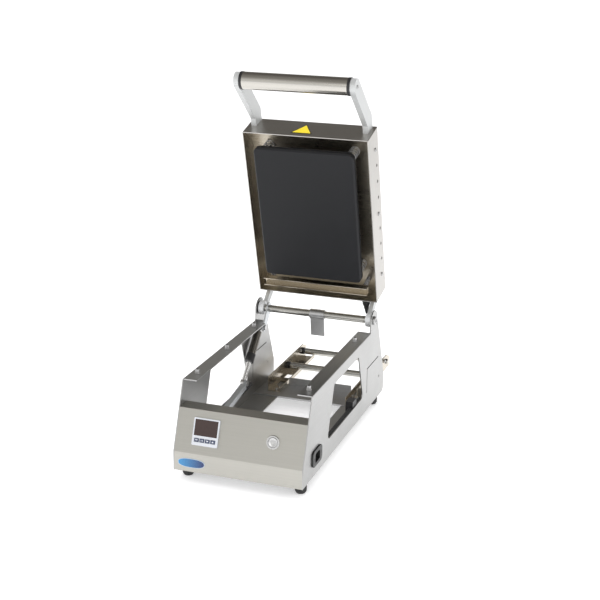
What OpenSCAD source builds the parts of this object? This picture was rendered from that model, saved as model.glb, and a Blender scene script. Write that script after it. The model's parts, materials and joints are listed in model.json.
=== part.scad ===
// Tabletop tray sealer: folded stainless base, hinged lid with a sprung heater
// plate, one lid spring, film carrier at the rear and a small control box.
// Millimetres. +Z is up, -Y is the front. The origin is on the table, under the
// middle of the footprint. The lid is drawn open, as it stands when not in use.

/* [Base] */
// Outer width of the base
base_w = 240; // [220:1:260]
// Height of the rubber feet
foot_h = 20; // [16:1:26]
// Sheet thickness of the folded base
sheet = 2; // [1.5:0.5:2.5]
// Height of the flat top of the side plates above the table
side_top = 174.5; // [168:0.5:182]
// Lean of the front panel from vertical, degrees
panel_tilt = 20; // [16:1:24]

/* [Lid] */
// Outer width of the lid
lid_w = 244; // [236:1:252]
// Distance from the hinge line to the lid's rear end wall
lid_near = 28; // [26:1:34]
// Distance from the hinge line to the lid's front wall
lid_far = 375; // [360:1:385]
// Depth of the lid box
lid_deep = 62.5; // [58:0.5:68]
// Opening angle of the lid, degrees from closed
lid_open = 74; // [70:1:76]
// Travel of the heater plate on its springs
plate_travel = 5; // [3:0.5:6]

/* [Film carrier] */
// How far the carrier rails reach back from the front edge
depth = 635; // [600:5:650]
// Diameter of the film rollers
roller_d = 13; // [11:1:15]

/* [Hidden] */
$fn = 48;

half_w = base_w / 2;
floor_z = foot_h + sheet;
deck_z = floor_z + sheet;
running = 0.05;
gap = 0.4;

// Front panel
bend_z = 55;
panel_top = 128.5;
panel_flange_y = 57;
cover_y = 112;
function lean_y(z) = (z - bend_z) * tan(panel_tilt);

// Hinge line and side plate outline
pivot = [414.5, 195.5];
ear = [418, 191.5];
ear_r = 23;
rear_low = [499.5, 57.5];
flange_in = 25;
foot_flange_in = 51;
collar_r = 13.5;
collar_x = [105.6, 116.4];
badge_t = 0.8;
flap_tilt = 8.5;
shaft_r = 7;
ear_bore_r = 9;

// Window of the side plate, corners in (y, z)
window = [[131, 57.5], [353, 57.5], [318, 152.8], [166, 152.8]];
window_r = 9;

// Film carrier
rail_x = 95;
rail_in = 26;
rail_top = 54.5;
rail_front = 402;
rail_floor_end = 623;
roller_y = [516, 611];
roller_z = 41;
journal_r = 4;
bush_len = 5.5;

// Controller and button on the sloping panel: x across, v up the slope
ctrl = [-63, 40];
ctrl_w = 48;
button = [60.5, 40.5];
key_w = 8.2;
key_h = 6;
key_pitch = 10.2;
key_v = 25.2 - 40;

// Mains inlet on the right side plate, (y, z)
inlet = [69, 55];

// Lid spring: anchor on the base, crank pin on the left lid arm
spring_x = 107.9;
anchor = [298, 76];
anchor_x = 100;
crank_local = [-23.5, -34.3];
spring_tube_r = 8;
rod_r = 4.5;
eye_r = 7;
eye_w = 7;
pin_r = 3;
cap_start = 47;
cap_len = 17;

// Lid frame: s runs from the hinge to the lid's front, t from the rim to its back
rim_t = 21.5;
back_t = rim_t + lid_deep;
lid_sheet = 1.5;
plate_face_t = 5;
plate_s = [78, 352.5];
plate_half = 98;
plate_thick = 12;
plate_base_t = plate_face_t + plate_thick;
pan_t = 61.5;
pin_end_t = plate_base_t + plate_travel + 3.5;
spring_end_t = plate_base_t + plate_travel + 1.5;
arm_x = [104.6, 112.6];
crank_x = [96.5, 99.5];
guide_at = [[84, 92], [84, 334]];
clamp_s = 57;
clamp_half = 106;
clamp_t = 9;
clamp_pin_r = 2.4;
handle = [487, 3];
handle_r = 16;
handle_x = [104, 114];

// Thickness offset of an open polyline, so that folded sheet is one outline
function unit(v) = v / norm(v);
function left_of(v) = [-v.y, v.x];
function seg(p, i) = unit(p[i + 1] - p[i]);
function corner(p, i) = let(
    a = left_of(seg(p, max(i - 1, 0))),
    b = left_of(seg(p, min(i, len(p) - 2)))
) (a + b) / (1 + a * b);
function folded(p, t) = concat(
    p,
    [for (i = [len(p) - 1:-1:0]) p[i] + corner(p, i) * t]
);

// Angle and point where a line from p touches a circle
function touch(p, c, r) = let(
    a = acos(r / norm(p - c)) + atan2(p.y - c.y, p.x - c.x)
) c + r * [cos(a), sin(a)];

module placed() {
    translate([0, (badge_t - depth) / 2, 0]) children();
}

// Extrudes a (y, z) outline along x from x0 over a width w
module yz(x0, w) {
    translate([x0, 0, 0]) rotate([90, 0, 90]) linear_extrude(w) children();
}

// Cylinder along x from x0, centred at c = (y, z)
module bar_x(x0, w, r, c) {
    translate([x0, c.x, c.y]) rotate([0, 90, 0]) cylinder(r = r, h = w);
}

module on_panel(at, lift = 0) {
    translate([0, 0, bend_z]) rotate([90 - panel_tilt, 0, 0])
        translate([at.x, at.y, lift]) children();
}

// The lid frame in the open position: x across, -y along s, +z along t
module in_lid() {
    placed() translate([0, pivot.x, pivot.y]) rotate([-lid_open, 0, 0]) children();
}

// Extrudes an outline given in (s, t) along x
module st(x0, w) {
    mirror([0, 1, 0]) yz(x0, w) children();
}

module both_sides() {
    children();
    mirror([1, 0, 0]) children();
}

// Convex polygon with round corners made of true arcs
module rounded(p, r) {
    n = len(p);
    ends = [for (i = [0:n - 1]) let(
        a = unit(p[(i + n - 1) % n] - p[i]),
        b = unit(p[(i + 1) % n] - p[i]),
        half = acos(a * b) / 2
    ) [p[i] + a * r / tan(half), p[i] + b * r / tan(half), p[i] + unit(a + b) * r / sin(half)]];
    polygon([for (e = ends) each [e[0], e[1]]]);
    for (e = ends) translate(e[2]) circle(r);
}

// ---------------------------------------------------------------- base

module side_outline() {
    front_top = [lean_y(side_top), side_top];
    polygon([
        [0, foot_h], [0, bend_z], front_top, [ear.x - ear_r, side_top],
        [ear.x - ear_r, ear.y], ear, touch(rear_low, ear, ear_r), rear_low,
        [rear_low.x, foot_h + 8], [rear_low.x - 8, foot_h]
    ]);
    translate(ear) circle(ear_r);
}

module side_cutouts() {
    rounded(window, window_r);
    translate(pivot) circle(ear_bore_r);
    translate([464, 63.5]) circle(2.5);
    translate([435, 184]) circle(1.8);
    translate([377, 57.5]) square([2.2, 51]);
    translate([377, 107]) square([78, 2.2]);
}

// Web with the window, an inward top flange and an inward foot flange
module side_plate() {
    difference() {
        union() {
            yz(half_w - sheet, sheet) side_outline();
            translate([half_w - sheet - flange_in, lean_y(side_top), side_top - sheet])
                cube([flange_in, 400 - lean_y(side_top), sheet]);
            translate([half_w - sheet - foot_flange_in, sheet, foot_h])
                cube([foot_flange_in, 488, sheet]);
        }
        yz(half_w - sheet - 1, sheet + 2) side_cutouts();
    }
}

module side_plate_left() {
    color("silver") placed() difference() {
        mirror([1, 0, 0]) side_plate();
        translate([-crank_x[1] - 1.2, 382, side_top - 4]) cube([20, 30, 6]);
    }
}

module side_plate_right() {
    color("silver") placed() difference() {
        side_plate();
        yz(half_w - sheet - 1, sheet + 2) translate(inlet) square([29, 22], center = true);
    }
}

// Kick strip, sloping face and top flange folded from one sheet
module front_panel() {
    color("silver") placed() difference() {
        yz(-half_w + sheet, base_w - 2 * sheet) polygon(folded([
            [panel_flange_y, panel_top], [lean_y(panel_top), panel_top], [0, bend_z], [0, foot_h]
        ], sheet));
        on_panel(ctrl, -5) cube([45, 45, 20], center = true);
        on_panel(button, -5) cylinder(r = 9.5, h = 10);
    }
}

// Cover that closes the control box behind the front panel
module control_cover() {
    color("gainsboro") placed() yz(-half_w + sheet, base_w - 2 * sheet) polygon(folded([
        [cover_y, deck_z], [cover_y, 99.5], [panel_flange_y, panel_top - sheet],
        [panel_flange_y - 12, panel_top - sheet]
    ], 1.5));
}

module control_floor() {
    color("gainsboro") placed() translate([-half_w + sheet, sheet, floor_z])
        cube([base_w - 2 * sheet, cover_y - sheet, sheet]);
}

// Tie plate between the side plates, with a lip down in front and up behind
module cross_plate() {
    front = 382;
    back = 452;
    lip_half = half_w - sheet - foot_flange_in - 0.5;
    color("gainsboro") placed() {
        translate([-half_w + sheet, front, floor_z]) cube([base_w - 2 * sheet, back - front, sheet]);
        translate([-lip_half, front, foot_h]) cube([2 * lip_half, sheet, sheet]);
        translate([-lip_half, back - sheet, deck_z]) cube([2 * lip_half, sheet, 15]);
    }
}

module feet() {
    color([0.08, 0.08, 0.08]) placed() both_sides() for (y = [31, 470])
        translate([half_w - 14.5, y, 0]) {
            cylinder(r1 = 8.5, r2 = 10.5, h = 4);
            translate([0, 0, 4]) cylinder(r = 10.5, h = foot_h - 4);
        }
}

// Locating studs for the tray mould: three on the left flange, two on the right
module mould_studs() {
    places = [[-105, 75], [-105, 212], [-105, 351], [105, 69], [105, 339]];
    color("dimgray") placed() for (p = places) translate([p.x, p.y, side_top]) {
        cylinder(r = 5, h = 3);
        translate([0, 0, 3]) cylinder(r = 3.6, h = 6);
    }
}

// Rail of the film carrier: tall outer wall, slotted floor and a low inner lip
module carrier() {
    x0 = rail_x - rail_in;
    difference() {
        translate([x0, rail_front, deck_z]) cube([rail_in, depth - rail_front, rail_top - deck_z]);
        translate([x0 + sheet, rail_front - 1, floor_z + 2 * sheet])
            cube([rail_in - 2 * sheet, depth, rail_top]);
        translate([x0 - 1, rail_front - 1, deck_z + 8]) cube([rail_in - sheet + 1, depth, rail_top]);
        translate([x0 - 1, rail_floor_end, deck_z - 1]) cube([rail_in - sheet + 1, 50, rail_top]);
        yz(x0 - 1, rail_in + 2) polygon([
            [depth - 20, rail_top + 1], [depth - 20, rail_top], [depth, rail_top - 9],
            [depth + 1, rail_top - 9], [depth + 1, rail_top + 1]
        ]);
        for (y = [446, 490, 560])
            translate([x0 + rail_in / 2 - 6, y - 13, deck_z - 1]) cube([12, 26, sheet + 2]);
        for (y = roller_y) bar_x(x0, rail_in + 5, 5.5, [y, roller_z]);
        for (y = [424, 452, 480, 545, 573]) bar_x(rail_x - 3, 5, 2.2, [y, roller_z]);
    }
}

module carrier_left() {
    color([0.72, 0.68, 0.6]) placed() mirror([1, 0, 0]) carrier();
}

module carrier_right() {
    color([0.72, 0.68, 0.6]) placed() carrier();
}

// Screws that hold the rails down, and a stop bolt near each rail's end
module carrier_bolts() {
    color("gray") placed() both_sides() {
        for (y = [409, 427]) translate([rail_x - rail_in / 2 - 4, y, deck_z + sheet]) {
            cylinder(r = 3.5, h = 2);
            translate([0, 0, 2]) cylinder(r = 2.2, h = 1.2);
        }
        bar_x(rail_x, 4, 4, [593, 47.5]);
        bar_x(rail_x - 6, 4, 4, [593, 47.5]);
    }
}

module roller_bushings() {
    color([0.07, 0.07, 0.07]) placed() both_sides() for (y = roller_y) difference() {
        union() {
            bar_x(rail_x - sheet - bush_len, bush_len, 7.3, [y, roller_z]);
            bar_x(rail_x - sheet, sheet, 5.45, [y, roller_z]);
        }
        bar_x(rail_x - 20, 40, journal_r + running, [y, roller_z]);
    }
}

// Polished roller with turned-down journals and a retaining nut at each end
module film_roller(y) {
    body = rail_x - sheet - bush_len - gap;
    placed() {
        bar_x(-body, 2 * body, roller_d / 2, [y, roller_z]);
        both_sides() {
            bar_x(body, rail_x + gap - body, journal_r, [y, roller_z]);
            bar_x(rail_x + gap, 3.6, 5.6, [y, roller_z]);
        }
    }
}

module roller_front() {
    color("silver") film_roller(roller_y[0]);
}

module roller_rear() {
    color("silver") film_roller(roller_y[1]);
}

// Black cable conduit along the lower band of each side plate
module conduit(side) {
    r = 5;
    at = [cover_y, 54];
    color([0.1, 0.1, 0.1]) placed() translate([side * (half_w - sheet - r - 0.2), at.x, at.y])
        rotate([-90, 0, 0]) {
            cylinder(r = r, h = 232);
            translate([0, 0, 232]) cylinder(r = r - 1, h = 8);
        }
}

module conduit_left() {
    conduit(-1);
}

module conduit_right() {
    conduit(1);
}

// Clamp block on the right conduit's end
module conduit_gland() {
    color([0.06, 0.06, 0.06]) placed() {
        translate([half_w - sheet - 14.5, 292, 49]) difference() {
            cube([14.3, 24, 21]);
            translate([14.5 - 5.2, -1, 5]) rotate([-90, 0, 0]) cylinder(r = 5.05, h = 26);
        }
    }
}

// Square bar from the control box back to the lid spring's lower pivot
module anchor_bar() {
    bar_w = 11;
    tongue = 4;
    front = [cover_y, 47];
    run = norm(anchor - front);
    rise = atan2(anchor.y - front.y, anchor.x - front.x);
    back = anchor - unit(anchor - front) * 14;
    side = left_of(unit(anchor - front)) * 4.5;
    color("lightsteelblue") placed() difference() {
        union() {
            translate([-anchor_x - tongue / 2, front.x, front.y]) rotate([rise, 0, 0])
                translate([-bar_w / 2, -6, -bar_w / 2]) cube([bar_w, run + 6 - 11, bar_w]);
            yz(-anchor_x - tongue, tongue) difference() {
                union() {
                    translate(anchor) circle(eye_r - 1);
                    polygon([back + side, back - side, anchor - side, anchor + side]);
                }
                translate(anchor) circle(pin_r);
            }
        }
        translate([-200, cover_y - 20, 0]) cube([200, 20, 100]);
    }
}

// Pivot pin of the lid spring, headed on the inside
module anchor_pin() {
    end = spring_x + eye_w / 2 + 0.6;
    color("gray") placed() {
        bar_x(-anchor_x, 2.6, 5.5, anchor);
        bar_x(-end, end - anchor_x, pin_r, anchor);
    }
}

// ---------------------------------------------------------------- controls

module controller_housing() {
    bezel = 3;
    color([0.83, 0.84, 0.86]) placed() on_panel(ctrl) difference() {
        union() {
            linear_extrude(bezel) rounded([
                [-ctrl_w / 2, -ctrl_w / 2], [ctrl_w / 2, -ctrl_w / 2],
                [ctrl_w / 2, ctrl_w / 2], [-ctrl_w / 2, ctrl_w / 2]
            ], 1.5);
            translate([-22.4, -22.4, -56]) cube([44.8, 44.8, 56.1]);
        }
        translate([-21.5, -7, bezel - 1]) cube([43, 28.5, 2]);
        for (i = [0:3]) translate([key_x(i), key_v, 0])
            cube([key_w + 0.7, key_h + 0.7, 8], center = true);
    }
}

function key_x(i) = (i - 1.5) * key_pitch;

module controller_display() {
    color([0.16, 0.12, 0.11]) placed() on_panel(ctrl) translate([-21.5, -7, 2])
        cube([43, 28.5, 0.8]);
}

module controller_key(i) {
    color([0.25, 0.29, 0.4]) placed() on_panel(ctrl) translate([key_x(i), key_v, 1.9])
        cube([key_w, key_h, 3.4], center = true);
}

module key_1() {
    controller_key(0);
}

module key_2() {
    controller_key(1);
}

module key_3() {
    controller_key(2);
}

module key_4() {
    controller_key(3);
}

module button_ring() {
    color("gainsboro") placed() on_panel(button) difference() {
        union() {
            cylinder(r1 = 12.5, r2 = 11.5, h = 2.2);
            translate([0, 0, -22]) cylinder(r = 9.4, h = 22);
            translate([0, 0, -sheet - 3.2]) cylinder(r = 13, h = 3);
        }
        translate([0, 0, -8]) cylinder(r = 8.8, h = 12);
        translate([0, 0, -16]) cylinder(r = 3.05, h = 12);
    }
}

module button_cap() {
    color("silver") placed() on_panel(button) {
        translate([0, 0, -3]) cylinder(r = 8.4, h = 5);
        translate([0, 0, -10]) cylinder(r = 3, h = 8);
    }
}

// Recessed mains inlet: rounded flange, socket body and three blades
module inlet_body() {
    y = inlet.x;
    z = inlet.y;
    color([0.06, 0.06, 0.06]) placed() difference() {
        union() {
            yz(half_w, 3) rounded([
                [y - 25, z - 15], [y + 25, z - 15], [y + 25, z + 15], [y - 25, z + 15]
            ], 9);
            yz(half_w - 24, 24.5) translate(inlet) square([28.6, 21.6], center = true);
        }
        yz(half_w - 17, 30) polygon([
            [y - 12.5, z - 8.5], [y + 12.5, z - 8.5], [y + 12.5, z + 4.5],
            [y + 8.5, z + 8.5], [y - 8.5, z + 8.5], [y - 12.5, z + 4.5]
        ]);
        for (s = [-1, 1]) bar_x(half_w + 1, 5, 1.8, [y + s * 20, z]);
    }
}

module inlet_pins() {
    color("gold") placed() for (p = [[0, 2], [-7, -2], [7, -2]])
        translate([half_w - 17 + 6.5, inlet.x + p.x, inlet.y + p.y]) cube([13, 2, 4], center = true);
}

// Blank name badge on the kick strip
module badge() {
    color([0.2, 0.4, 0.62]) placed() translate([-86, 0, 37]) rotate([90, 0, 0])
        linear_extrude(badge_t) rounded([[-25, -8.5], [25, -8.5], [25, 8.5], [-25, 8.5]], 8.4);
}

// ---------------------------------------------------------------- hinge

module hinge_bearings() {
    color("dimgray") placed() both_sides() difference() {
        union() {
            bar_x(half_w - sheet - 1.2, 1.2, 11, pivot);
            bar_x(half_w - sheet, sheet, ear_bore_r - 0.05, pivot);
        }
        bar_x(half_w - 20, 30, shaft_r + running, pivot);
    }
}

// Collars that keep the shaft and the lid arms centred between the plates
module hinge_collars() {
    color("whitesmoke") placed() both_sides() difference() {
        bar_x(collar_x[0], collar_x[1] - collar_x[0], collar_r, pivot);
        bar_x(half_w - 20, 30, shaft_r, pivot);
    }
}

module hinge_shaft() {
    color("silver") placed() bar_x(-half_w - gap, base_w + 2 * gap, shaft_r, pivot);
}

module shaft_bolts() {
    color("gray") placed() both_sides() difference() {
        bar_x(half_w + gap, 4.2, 8.5, pivot);
        bar_x(half_w + gap + 2, 4, 3.6, pivot);
    }
}

// Short sleeve on the shaft with a flat flap that hangs from it
module film_flap() {
    x0 = -10;
    w = 30;
    color([0.5, 0.49, 0.46]) placed() translate([0, pivot.x, pivot.y]) rotate([flap_tilt, 0, 0])
        difference() {
            union() {
                bar_x(x0, w, shaft_r + 2.5, [0, 0]);
                translate([x0 + 1, -5.2, -45]) cube([w - 2, 2.4, 45]);
            }
            bar_x(x0 - 1, w + 2, shaft_r + running, [0, 0]);
        }
}

// ---------------------------------------------------------------- lid

// Outer face of the lid's slanting rear wall at a height t
function wall_s(t) = lid_near - 3 * (t - rim_t) / lid_deep;

// Slanting arm welded to the collar behind the shaft and to the lid's rear wall
module lid_arm() {
    in_lid() difference() {
        st(arm_x[0], arm_x[1] - arm_x[0]) polygon([
            [8, 9], [wall_s(46), 46], [wall_s(80), 80], [20, 80], [-4, 14], [-2, 6]
        ]);
        bar_x(90, 30, collar_r, [0, 0]);
    }
}

module lid_arm_left() {
    color("gainsboro") mirror([1, 0, 0]) lid_arm();
}

module lid_arm_right() {
    color("gainsboro") lid_arm();
}

// Thin lug clamped on the shaft beside the left collar; the lid spring pulls on it
module crank_lug() {
    side = left_of(unit(crank_local));
    color("gainsboro") in_lid() difference() {
        union() {
            st(-crank_x[1], crank_x[1] - crank_x[0])
                polygon([side * 11, crank_local + side * 7.8, crank_local - side * 7.8, side * -11]);
            bar_x(-crank_x[1], crank_x[1] - crank_x[0], 12, [0, 0]);
            bar_x(-crank_x[1], crank_x[1] - crank_x[0], 8, [-crank_local.x, crank_local.y]);
        }
        bar_x(-120, 30, shaft_r, [0, 0]);
        bar_x(-120, 30, pin_r, [-crank_local.x, crank_local.y]);
    }
}

// Headed pin riveted in the crank lug
module crank_pin() {
    at = [-crank_local.x, crank_local.y];
    color("gray") in_lid() {
        bar_x(-crank_x[0], 2.5, 5.5, at);
        bar_x(gap - spring_x + eye_w / 2, spring_x - eye_w / 2 - gap - crank_x[0], pin_r, at);
    }
}

// Black cable gland on the rear wall with its tapered boot
module lid_gland() {
    root = wall_s(34 + 8.5);
    color([0.05, 0.05, 0.05]) in_lid() translate([95.6, -root, 34]) rotate([-90, 0, 0]) {
        cylinder(r = 8.5, h = 13);
        translate([0, 0, 13]) cylinder(r1 = 6.4, r2 = 2.4, h = 22);
    }
}

// Box of folded sheet, open towards the mould, with vent and screw holes
module lid_shell() {
    w = lid_w / 2;
    holes = [for (i = [0:8]) 69 + 33.5 * i];
    color("silver") in_lid() difference() {
        st(-w, lid_w) polygon([
            [lid_near, rim_t], [lid_far, rim_t], [lid_far, back_t], [lid_near - 3, back_t]
        ]);
        st(-w + lid_sheet, lid_w - 2 * lid_sheet) polygon([
            [lid_near + lid_sheet, rim_t - 1], [lid_far - lid_sheet, rim_t - 1],
            [lid_far - lid_sheet, back_t - lid_sheet], [lid_near + lid_sheet, back_t - lid_sheet]
        ]);
        for (i = [1, 2, 3, 5, 6, 7]) bar_x(-w - 1, lid_w + 2, 3.2, [-holes[i], 67.5]);
    }
}

// Inner plate that carries the guide pins and closes off the wiring space
module lid_inner_plate() {
    w = lid_w / 2 - lid_sheet;
    a = lid_near + lid_sheet;
    b = lid_far - lid_sheet;
    color([0.55, 0.5, 0.42]) in_lid() translate([-w, -b, pan_t]) cube([2 * w, b - a, lid_sheet]);
}

module at_guides() {
    for (g = guide_at) both_sides() translate([g.x, -g.y, 0]) children();
}

// Pins fixed to the inner plate; the heater plate's bosses slide on them
module guide_pins() {
    color("silver") in_lid() at_guides()
        translate([0, 0, pin_end_t]) cylinder(r = 4, h = pan_t - pin_end_t);
}

module plate_springs() {
    color("darkgray") in_lid() at_guides() difference() {
        translate([0, 0, spring_end_t]) cylinder(r = 9.6, h = pan_t - spring_end_t);
        translate([0, 0, spring_end_t - 1]) cylinder(r = 7.6, h = 60);
    }
}

// Coated heater plate with round corners and a bevelled face
module heater_plate() {
    f = plate_face_t;
    w = plate_half;
    a = plate_s[0];
    b = plate_s[1];
    cut = 3;
    color([0.17, 0.17, 0.18]) in_lid() difference() {
        translate([0, 0, f]) linear_extrude(plate_thick) rounded([[-w, -b], [w, -b], [w, -a], [-w, -a]], 13);
        for (e = [[a, 1], [b, -1]]) st(-w - 1, 2 * w + 2) polygon([
            [e[0] - e[1], f - 1], [e[0] + e[1] * cut, f - 1], [e[0] + e[1] * cut, f],
            [e[0], f + cut], [e[0] - e[1], f + cut]
        ]);
        both_sides() translate([0, -b - 1, 0]) rotate([-90, 0, 0]) linear_extrude(b - a + 2) polygon([
            [w - cut, -f], [w, -f - cut], [w + 1, -f - cut], [w + 1, -f + 1], [w - cut, -f + 1]
        ]);
    }
}

// Guide sleeves on the back of the plate, each inside a shallow spring cup
module plate_bosses() {
    base = plate_base_t;
    color("gray") in_lid() at_guides() difference() {
        union() {
            translate([0, 0, base]) cylinder(r = 11.4, h = 8);
            translate([0, 0, base]) cylinder(r = 6.6, h = 16);
        }
        translate([0, 0, base + 1]) difference() {
            cylinder(r = 10.2, h = 10);
            translate([0, 0, -1]) cylinder(r = 6.6, h = 12);
        }
        translate([0, 0, base + 2.5]) cylinder(r = 4 + running, h = 20);
    }
}

// Folded channel across the rear end of the lid that clamps the film, open to the mould
module clamp_bar() {
    web_t = clamp_t + 11;
    color([0.42, 0.39, 0.34]) in_lid() difference() {
        union() {
            translate([-clamp_half, -clamp_s - 8, web_t]) cube([2 * clamp_half, 16, 1.6]);
            for (side = [-1, 1]) translate([-clamp_half, -clamp_s + side * 7.2 - 0.8, clamp_t])
                cube([2 * clamp_half, 1.6, 12]);
            at_clamp_pins() translate([0, 0, web_t]) cylinder(r = 5.6, h = 8);
        }
        at_clamp_pins() translate([0, 0, web_t + 1.6]) cylinder(r = clamp_pin_r + running, h = 20);
    }
}

module at_clamp_pins() {
    both_sides() translate([clamp_half - 10, -clamp_s, 0]) children();
}

// Guide pins of the clamp bar with their springs
module clamp_springs() {
    color("darkgray") in_lid() at_clamp_pins() {
        translate([0, 0, 26.5]) cylinder(r = clamp_pin_r, h = pan_t - 26.5);
        difference() {
            translate([0, 0, 33]) cylinder(r = 4.8, h = pan_t - 33);
            translate([0, 0, 32]) cylinder(r = 3.2, h = 50);
        }
    }
}

// Bent flat arm: foot on the lid's front wall, round end on the tube's axis
module handle_arm() {
    foot_t = 65;
    half = 15;
    bend = [lid_far + 20, foot_t];
    dir = unit(handle - bend);
    side = left_of(dir) * half;
    in_lid() st(handle_x[0], handle_x[1] - handle_x[0]) {
        polygon([
            [lid_far, foot_t - half], [bend.x - 5, foot_t - half], bend - side, handle - side,
            handle + side, bend + side, [bend.x + 3, foot_t + half], [lid_far, foot_t + half]
        ]);
        translate(handle) circle(half);
    }
}

module handle_arm_left() {
    color("gainsboro") mirror([1, 0, 0]) handle_arm();
}

module handle_arm_right() {
    color("gainsboro") handle_arm();
}

module handle_tube() {
    w = handle_x[0] - 5;
    color("silver") in_lid() bar_x(-w, 2 * w, handle_r, [-handle.x, handle.y]);
}

module handle_rings() {
    w = handle_x[0] - 5;
    color([0.05, 0.05, 0.05]) in_lid() both_sides()
        bar_x(w, 5, handle_r + 0.4, [-handle.x, handle.y]);
}

// Screws of the inner pan and of the handle
module lid_screws() {
    color("gray") in_lid() both_sides() {
        for (s = [69, 203, 337]) bar_x(lid_w / 2, 1.8, 4, [-s, 63]);
        bar_x(handle_x[1], 1.6, 3.5, [-handle.x, handle.y]);
    }
}

// Plain triangular label on the lid's front wall
module lid_label() {
    color("gold") in_lid() translate([0, -lid_far, 0]) rotate([90, 0, 0]) linear_extrude(0.5)
        rounded([[-32, 33], [12, 33], [-9, 72]], 2);
}

// ---------------------------------------------------------------- lid springs

crank = pivot + [
    -crank_local.x * cos(lid_open) + crank_local.y * sin(lid_open),
    crank_local.x * sin(lid_open) + crank_local.y * cos(lid_open)
];
spring_len = norm(crank - anchor);
tube_top = spring_len - 11.5;
spring_rise = atan2(crank.y - anchor.y, crank.x - anchor.x);

// Frame of the lid spring: z runs from the anchor to the crank pin
module on_spring() {
    placed() translate([-spring_x, anchor.x, anchor.y]) rotate([spring_rise - 90, 0, 0])
        children();
}

module eye(z, bore) {
    translate([-eye_w / 2, 0, z]) rotate([0, 90, 0]) difference() {
        cylinder(r = eye_r, h = eye_w);
        translate([0, 0, -1]) cylinder(r = bore, h = eye_w + 2);
    }
}

// Polished rod with its lower eye, and the piston at its upper end
module spring_rod() {
    piston = cap_start + cap_len + 40;
    color("whitesmoke") on_spring() {
        eye(0, pin_r + running);
        difference() {
            translate([0, 0, 4]) cylinder(r = rod_r, h = piston - 4);
            translate([-10, 0, 0]) rotate([0, 90, 0]) cylinder(r = eye_r - 0.5, h = 20);
        }
        translate([0, 0, piston]) cylinder(r = spring_tube_r - 1.05, h = 5);
    }
}

// Tube that slides along the rod
module spring_tube() {
    base = cap_start + cap_len;
    color([0.35, 0.33, 0.3]) on_spring() difference() {
        translate([0, 0, base]) cylinder(r = spring_tube_r, h = tube_top - base);
        translate([0, 0, base - 1]) cylinder(r = spring_tube_r - 1, h = tube_top - base - 1);
    }
}

// Black end cap that the rod runs through, and the upper end fitting
module spring_caps() {
    color([0.07, 0.07, 0.07]) on_spring() {
        difference() {
            translate([0, 0, cap_start]) cylinder(r = spring_tube_r + 0.8, h = cap_len);
            translate([0, 0, cap_start - 1]) cylinder(r = rod_r + running, h = cap_len + 2);
        }
        translate([0, 0, tube_top]) cylinder(r = eye_w / 2 - 0.2, h = spring_len - tube_top - eye_r + 2.5);
        translate([-eye_w / 2, 0, spring_len]) rotate([0, 90, 0]) cylinder(r = eye_r, h = eye_w);
    }
}

side_plate_left();
side_plate_right();
front_panel();
control_cover();
control_floor();
cross_plate();
feet();
mould_studs();
carrier_left();
carrier_right();
carrier_bolts();
roller_bushings();
roller_front();
roller_rear();
conduit_left();
conduit_right();
conduit_gland();
anchor_bar();
anchor_pin();
controller_housing();
controller_display();
key_1();
key_2();
key_3();
key_4();
button_ring();
button_cap();
inlet_body();
inlet_pins();
badge();
hinge_bearings();
hinge_collars();
hinge_shaft();
shaft_bolts();
lid_arm_left();
lid_arm_right();
crank_lug();
crank_pin();
lid_gland();
lid_shell();
lid_inner_plate();
guide_pins();
plate_springs();
heater_plate();
plate_bosses();
clamp_bar();
clamp_springs();
handle_arm_left();
handle_arm_right();
handle_tube();
handle_rings();
lid_screws();
lid_label();
film_flap();
spring_rod();
spring_tube();
spring_caps();
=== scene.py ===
"""Looks of the tabletop tray sealer: materials, softened sheet metal, springs, screws, light and camera."""

import json
import math

import bmesh
import bpy
from mathutils import Matrix, Vector


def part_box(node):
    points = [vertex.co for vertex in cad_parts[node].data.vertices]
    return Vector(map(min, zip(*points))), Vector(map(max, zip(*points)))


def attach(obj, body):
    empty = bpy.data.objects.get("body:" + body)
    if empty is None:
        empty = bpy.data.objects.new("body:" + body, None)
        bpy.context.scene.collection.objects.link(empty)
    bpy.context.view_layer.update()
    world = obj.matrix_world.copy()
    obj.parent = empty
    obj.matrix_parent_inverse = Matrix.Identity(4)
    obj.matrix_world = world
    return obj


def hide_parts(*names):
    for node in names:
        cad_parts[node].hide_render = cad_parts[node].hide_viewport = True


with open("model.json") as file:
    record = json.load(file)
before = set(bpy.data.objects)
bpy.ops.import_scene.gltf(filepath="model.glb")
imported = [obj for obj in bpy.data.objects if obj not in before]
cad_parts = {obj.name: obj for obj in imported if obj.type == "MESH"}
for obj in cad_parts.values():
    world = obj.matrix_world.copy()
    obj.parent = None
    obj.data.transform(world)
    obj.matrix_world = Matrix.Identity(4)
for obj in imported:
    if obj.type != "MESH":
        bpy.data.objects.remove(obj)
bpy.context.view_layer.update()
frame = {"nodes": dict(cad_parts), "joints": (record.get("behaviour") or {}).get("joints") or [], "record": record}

mm = 0.001
ORIGIN = Matrix.Identity(4)
scene = bpy.context.scene


# ---------------------------------------------------------------- places taken from the frame

joints = {joint["name"]: joint for joint in frame["joints"]}
node_body = {node: body for body, nodes in frame["record"]["behaviour"]["bodies"].items() for node in nodes}
node_slot = {part["node"]: part["material_slot"] for part in frame["record"]["subparts"]}


def points(node, place=ORIGIN):
    """The node's vertices in the axes of a place."""
    inverse = place.inverted()
    return [inverse @ v.co for v in frame["nodes"][node].data.vertices]


def corners(cloud):
    """Lowest and highest corner of a cloud of points."""
    low = Vector(min(p[i] for p in cloud) for i in range(3))
    high = Vector(max(p[i] for p in cloud) for i in range(3))
    return low, high


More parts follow.
